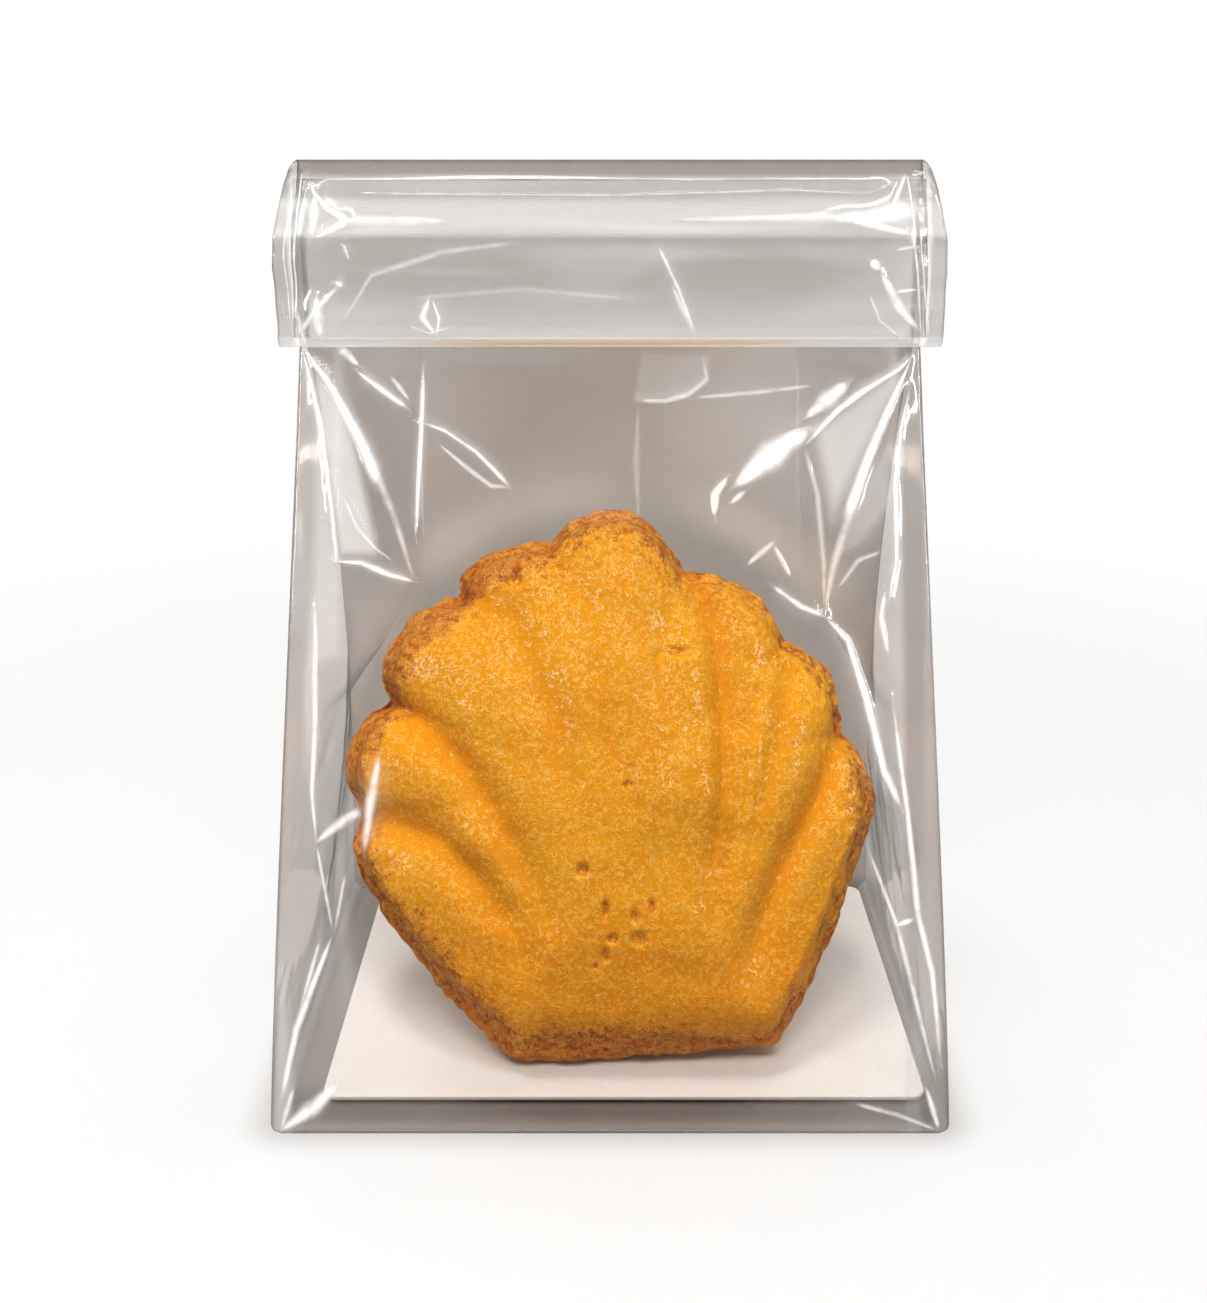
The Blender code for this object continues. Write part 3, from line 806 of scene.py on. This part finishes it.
def backPlace(grid):
    height = (grid[:, 1] + 1) / 2 * filmSet["neckHeight"]
    half, _, back, share = shoulder(height)
    across = grid[:, 0] * half
    belly = np.sin(np.pi * share) ** 2 * np.cos(grid[:, 0] * np.pi / 2)
    hold = smoothRise(1 - np.abs(grid[:, 0]), 0, 0.06) * smoothRise(height, 0, 5) * smoothRise(95 - height, 0, 4)
    flat = np.stack([across, height, height * 0], axis=-1)
    corner = smoothRise(np.abs(across) / 40 + height / 95, 1.2, 1.9)
    waves = 0.4 * waviness(flat, 22.0, 21) + (0.12 + 0.35 * corner) * crumple(flat, 12.0, 22)
    y = back + filmSet["crown"] * belly + waves * hold
    marks = dict(tint=np.full(across.shape, filmSet["panelTint"]), fold0=np.full(across.shape, 60.0))
    return np.stack([across, y, height], axis=1), marks


def sidePlace(grid, side):
    # the grid runs from the front edge to the back edge
    height = (grid[:, 1] + 1) / 2 * filmSet["neckHeight"]
    half, front, back, _ = shoulder(height)
    depths = filmSet["foldDepths"]
    inward = np.interp(height, [h for h, _ in depths], [d for _, d in depths])
    y = (front + back) / 2 + grid[:, 0] * (back - front) / 2
    hold = smoothRise(1 - np.abs(grid[:, 0]), 0, 0.15) * smoothRise(height, 0, 5) * smoothRise(95 - height, 0, 6)
    flat = np.stack([y, height, height * 0 + side * 40], axis=-1)
    waves = 0.35 * waviness(flat, 15.0, 31) + 0.2 * crumple(flat, 9.0, 32)
    x = half - inward * (1 - np.abs(grid[:, 0])) + waves * hold * 0.7
    # the column that it shares with the back panel has that panel's tint
    tint = filmSet["sideTint"] + (filmSet["panelTint"] - filmSet["sideTint"]) * smoothRise(grid[:, 0], 0.97, 1)
    marks = dict(tint=tint)
    marks["fold0"] = grid[:, 0] * np.hypot((back - front) / 2, inward) / filmSet["gussetFold"]
    # painted highlight down the gusset's middle fold, stronger on the left side
    bright = 1.0 if side < 0 else 0.3
    marks["white0"] = bright * smoothRise(height, 62, 84) * smoothRise(-height, -92.5, -90) + 0.12
    return np.stack([side * x, y, height], axis=1), marks


def leftPlace(grid):
    return sidePlace(grid, -1)


def rightPlace(grid):
    return sidePlace(grid, 1)


def basePlace(grid):
    half = filmSet["width"] / 2 - filmSet["cornerRound"]
    across = grid[:, 0] * half
    y = grid[:, 1] * filmSet["depth"] / 2
    lift = smoothRise(1 - np.abs(grid[:, 0]), 0, 0.05) * smoothRise(1 - np.abs(grid[:, 1]), 0, 0.05)
    flat = np.stack([across, y, y * 0], axis=-1)
    z = 0.12 * lift + 0.12 * np.abs(waviness(flat, 8.0, 61)) * lift
    # painted shadow: a dark strip of tint on the base film under the card's front edge stands for the card's shadow
    tint = 0.1 + 0.9 * smoothRise(y, -30.5, -27.5) * (1 - smoothRise(y, -26, -20))
    return np.stack([across, y, z], axis=1), dict(tint=tint)


# Header: the neck rolled forward; its outline in mm runs from the lip up the front, over the top and down the back

headerSet = dict(
    paintedBandShare=0.22,     # how strong the painted highlight on the bright band along the header is
    # height and half width there
    halfWidths=[(95, 41.6), (98, 41.4), (105, 41.4), (109, 41.2), (112, 40.8), (115, 40.2), (117, 39.7), (118, 39.2)],
    front=[(-4.7, 95.1), (-5.6, 95.7), (-5.95, 96.6), (-6.35, 99.5), (-6.55, 104), (-6.4, 108.9), (-3.0, 115.5)],
    top=[(-2.1, 116.7), (-0.9, 117.5), (0.7, 117.85), (2.4, 117.3), (3.6, 116.0), (4.3, 114.0)],
    back=[(4.6, 110), (4.3, 104), (3.9, 98), (3.7, 95.1)],
)


def alongPath(shares, places):
    lengths = np.array([0] + [math.dist(a, b) for a, b in zip(places, places[1:])])
    passed = np.cumsum(lengths) / lengths.sum()
    return np.interp(shares, passed, [p[0] for p in places]), np.interp(shares, passed, [p[1] for p in places])


def headerPlace(grid):
    y, z = alongPath((grid[:, 1] + 1) / 2, headerSet["front"] + headerSet["top"] + headerSet["back"])
    half = np.interp(z, [row[0] for row in headerSet["halfWidths"]], [row[1] for row in headerSet["halfWidths"]])
    across = grid[:, 0] * half
    facet = smoothRise(z, 108, 110) * (y < 0)
    flat = np.stack([across * 0.3, y * 2, z], axis=-1)
    waves = 0.3 * waviness(flat, 6.0, 41) * (1 - 0.8 * facet)
    ends = smoothRise(np.abs(across), 31, 37)
    waves += 0.4 * ends * crumple(np.stack([across, y, z], axis=-1), 5.0, 42)
    folds, marks = foldMarks(across, z, headerFolds)
    waves += folds * (y < 0)
    outward = np.where(y < 0.5, -1, 1)
    y = y + outward * waves * smoothRise(118 - z, 0, 3) * smoothRise(z, 95, 96.5)
    # the tint is lighter low down and darker over the top band: painted highlight and painted shade on the header's
    # own tint
    tint = filmSet["headerTint"] * (0.45 + 0.55 * smoothRise(z, 97, 104)) * smoothRise(z, 96, 96.8)
    tint = tint + 0.5 * smoothRise(z, 115.2, 116.2)
    flap = smoothRise(np.abs(across), 39.3, 39.6)
    tint = tint + 0.5 * flap
    isFront = y < -2.5
    for layer in range(3):
        marks["white" + str(layer)] = marks["white" + str(layer)] * isFront
    marks["tint"] = tint
    marks["rim"] = np.maximum(1 - smoothRise((1 - np.abs(grid[:, 0])) * half, 0, 0.4), 0.4 * flap)
    # painted highlights on the front of the header: the lip, the bright band, its lower part and ends, and soft
    # streaks and swells
    lip = smoothRise(-z, -96.9, -96.2)
    band = smoothRise(z, 108.7, 109.1) * smoothRise(-z, -114.2, -112.4)
    streaks = waviness(np.stack([across * 0.06, z, z * 0], axis=-1), 1.1, 44)
    soft = 0.08 * smoothRise(-z, -102, -97) + 0.08 * ends + headerSet["paintedBandShare"] * band
    soft += 0.08 * smoothRise(streaks, 0, 1.5) * smoothRise(z, 96, 97)
    lower = smoothRise(-z, -108.6, -107) * smoothRise(z, 96, 97.5)
    swells = waviness(np.stack([across * 0.3, z, z * 0], axis=-1), 5.0, 46)
    soft += 0.1 * smoothRise(swells, -0.1, 0.8) * lower
    marks["paintedSheen"] = np.maximum(marks["paintedSheen"], np.maximum(0.38 * lip, soft)) * isFront
    # painted warm reflection of the cake on the strip above the lip
    strip = smoothRise(-z, -96.3, -95.9) * smoothRise(z, 95.2, 95.5) * isFront
    marks["paintedWarmReflection"] = strip * smoothRise(30 - np.abs(across), 0, 16)
    return np.stack([across, y, z], axis=1), marks


def neckPlace(grid):
    y, z = alongPath(
        (grid[:, 1] + 1) / 2, [(-1.0, 95), (-1.6, 102), (-1.0, 110), (0.2, 115.5), (1.2, 115.5), (2.6, 110), (3.0, 95)]
    )
    across = grid[:, 0] * filmSet["neckWidth"] / 2
    flat = np.stack([across * 0.5, y * 3, z], axis=-1)
    y = y + 0.35 * crumple(flat, 8.0, 51) * smoothRise(z, 95, 98)
    tint = np.full(y.shape, filmSet["headerTint"])
    rim = 1 - smoothRise((1 - np.abs(grid[:, 0])) * filmSet["neckWidth"] / 2, 0, 0.7)
    return np.stack([across, y, z], axis=1), dict(tint=tint, rim=rim * 0.4)


filmMarks = ["tint", "rim", "paintedSheen", "paintedWarmReflection", "fold0", "fold1", "fold2", "white0", "white1", "white2"]


def makeFilm(name, panels, material):
    # each panel gives its columns, its rows and the function that places its grid
    bm = bmesh.new()
    layers = {mark: bm.verts.layers.float.new(mark) for mark in filmMarks}
    for columns, rows, panelPlace in panels:
        made = bmesh.ops.create_grid(bm, x_segments=columns, y_segments=rows, size=1)["verts"]
        places, marks = panelPlace(np.array([vert.co[:] for vert in made]))
        for vert, place in zip(made, places * mm):
            vert.co = place
        for mark, values in marks.items():
            for vert, value in zip(made, values):
                vert[layers[mark]] = value
    bmesh.ops.remove_doubles(bm, verts=bm.verts, dist=0.00002)
    bmesh.ops.recalc_face_normals(bm, faces=bm.faces)
    piece = pieceFrom(bm, name, material)
    piece.data.set_sharp_from_angle(angle=math.radians(40))
    thicken = piece.modifiers.new("thickness", "SOLIDIFY")
    thicken.thickness = filmSet["thickness"] * mm
    thicken.offset = 0
    return piece


def makeFilmMaterial():
    material, tree = newMaterial("clear film")
    place = millimetreCoordinates(tree)
    geometry = addNode(tree, "ShaderNodeNewGeometry")
    path = addNode(tree, "ShaderNodeLightPath")
    tint = addNode(tree, "ShaderNodeAttribute", attribute_name="tint").outputs["Fac"]
    rim = addNode(tree, "ShaderNodeAttribute", attribute_name="rim").outputs["Fac"]
    ridge = 0.0
    for layer in range(3):
        fold = addNode(tree, "ShaderNodeAttribute", attribute_name="fold" + str(layer)).outputs["Fac"]
        white = addNode(tree, "ShaderNodeAttribute", attribute_name="white" + str(layer)).outputs["Fac"]
        line = stepNode(tree, mathNode(tree, "ABSOLUTE", fold), 0.0, 1.25, 1.0, 0.0)
        line = mathNode(tree, "POWER", line, 1.7)
        ridge = mathNode(tree, "MAXIMUM", ridge, mathNode(tree, "MULTIPLY", line, white))
    bump = addNode(tree, "ShaderNodeBump", {"Strength": 0.6, "Distance": 0.0003, "Height": ridge})
    paintedSheen = addNode(tree, "ShaderNodeAttribute", attribute_name="paintedSheen").outputs["Fac"]
    paintedWarmReflection = addNode(tree, "ShaderNodeAttribute", attribute_name="paintedWarmReflection").outputs["Fac"]
    breaks = addNode(tree, "ShaderNodeTexNoise", {"Vector": place, "Scale": 0.45, "Detail": 2.0}).outputs["Fac"]
    # painted highlights: the folds' white lines and the painted sheen mix in a pale diffuse and translucent sheet,
    # standing for reflections of the softboxes
    paintedHighlight = mathNode(tree, "MULTIPLY", ridge, stepNode(tree, breaks, 0.3, 0.55, 0.6, 1.0))
    paintedHighlight = mathNode(tree, "MINIMUM", mathNode(tree, "ADD", paintedHighlight, paintedSheen), 0.97)
    colour = mixColour(tree, tint, (1, 1, 1, 1), (0.60, 0.555, 0.515, 1))
    # the rim mark darkens the film along its edges and over the header's folded flaps: painted shade where the film is
    # seen edge-on, and the extra layers of the flaps
    colour = mixColour(tree, rim, colour, (0.34, 0.30, 0.27, 1), "MULTIPLY")
    clear = addNode(tree, "ShaderNodeBsdfTransparent", {"Color": colour})
    glossColour = (0.7, 0.7, 0.7, 1)
    crisp = addNode(tree, "ShaderNodeBsdfGlossy", {"Color": glossColour, "Roughness": 0.06, "Normal": bump.outputs[0]})
    soft = addNode(tree, "ShaderNodeBsdfGlossy", {"Color": glossColour, "Roughness": 0.2, "Normal": bump.outputs[0]})
    gloss = addNode(tree, "ShaderNodeMixShader", {0: 0.3, 1: crisp.outputs[0], 2: soft.outputs[0]})
    fresnel = addNode(tree, "ShaderNodeFresnel", {"IOR": 1.5, "Normal": bump.outputs[0]}).outputs[0]
    film = addNode(tree, "ShaderNodeMixShader", {0: fresnel, 1: clear.outputs[0], 2: gloss.outputs[0]})
    # painted reflection: the pale colour turns orange where the cake's warm reflection is painted
    paintedPale = mixColour(tree, paintedWarmReflection, (0.96, 0.96, 0.96, 1), (0.98, 0.56, 0.22, 1))
    bright = addNode(tree, "ShaderNodeBsdfDiffuse", {"Color": paintedPale})
    through = addNode(tree, "ShaderNodeBsdfTranslucent", {"Color": paintedPale})
    paintedHighlightShader = addNode(tree, "ShaderNodeMixShader", {0: 0.4, 1: bright.outputs[0], 2: through.outputs[0]})
    film = addNode(tree, "ShaderNodeMixShader", {0: paintedHighlight, 1: film.outputs[0], 2: paintedHighlightShader.outputs[0]})
    bare = addNode(tree, "ShaderNodeBsdfTransparent", {"Color": (1, 1, 1, 1)})
    oneSided = addNode(
        tree, "ShaderNodeMixShader", {0: geometry.outputs["Backfacing"], 1: film.outputs[0], 2: bare.outputs[0]}
    )
    lit = addNode(tree, "ShaderNodeBsdfTransparent", {"Color": (0.97, 0.97, 0.97, 1)})
    seen = addNode(
        tree, "ShaderNodeMixShader", {0: path.outputs["Is Shadow Ray"], 1: oneSided.outputs[0], 2: lit.outputs[0]}
    )
    addNode(tree, "ShaderNodeOutputMaterial", {"Surface": seen.outputs[0]})
    return material


def makeBag():
    material = makeFilmMaterial()
    front = makeFilm("front_film", [(190, 210, frontPlace)], material)
    sides = makeFilm("side_and_back_film", [(80, 110, backPlace), (60, 110, leftPlace), (60, 110, rightPlace)], material)
    base = makeFilm("base_film", [(60, 50, basePlace)], material)
    header = makeFilm("header_film", [(230, 120, headerPlace)], material)
    neck = makeFilm("neck_film", [(110, 60, neckPlace)], material)
    print("film ready")
    return [front, sides, base, header, neck]


makeCamera()
makeStudio()
cake = makeCake(makeCrumbMaterial())
card = makeCard()
bag = makeBag()
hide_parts("bag")
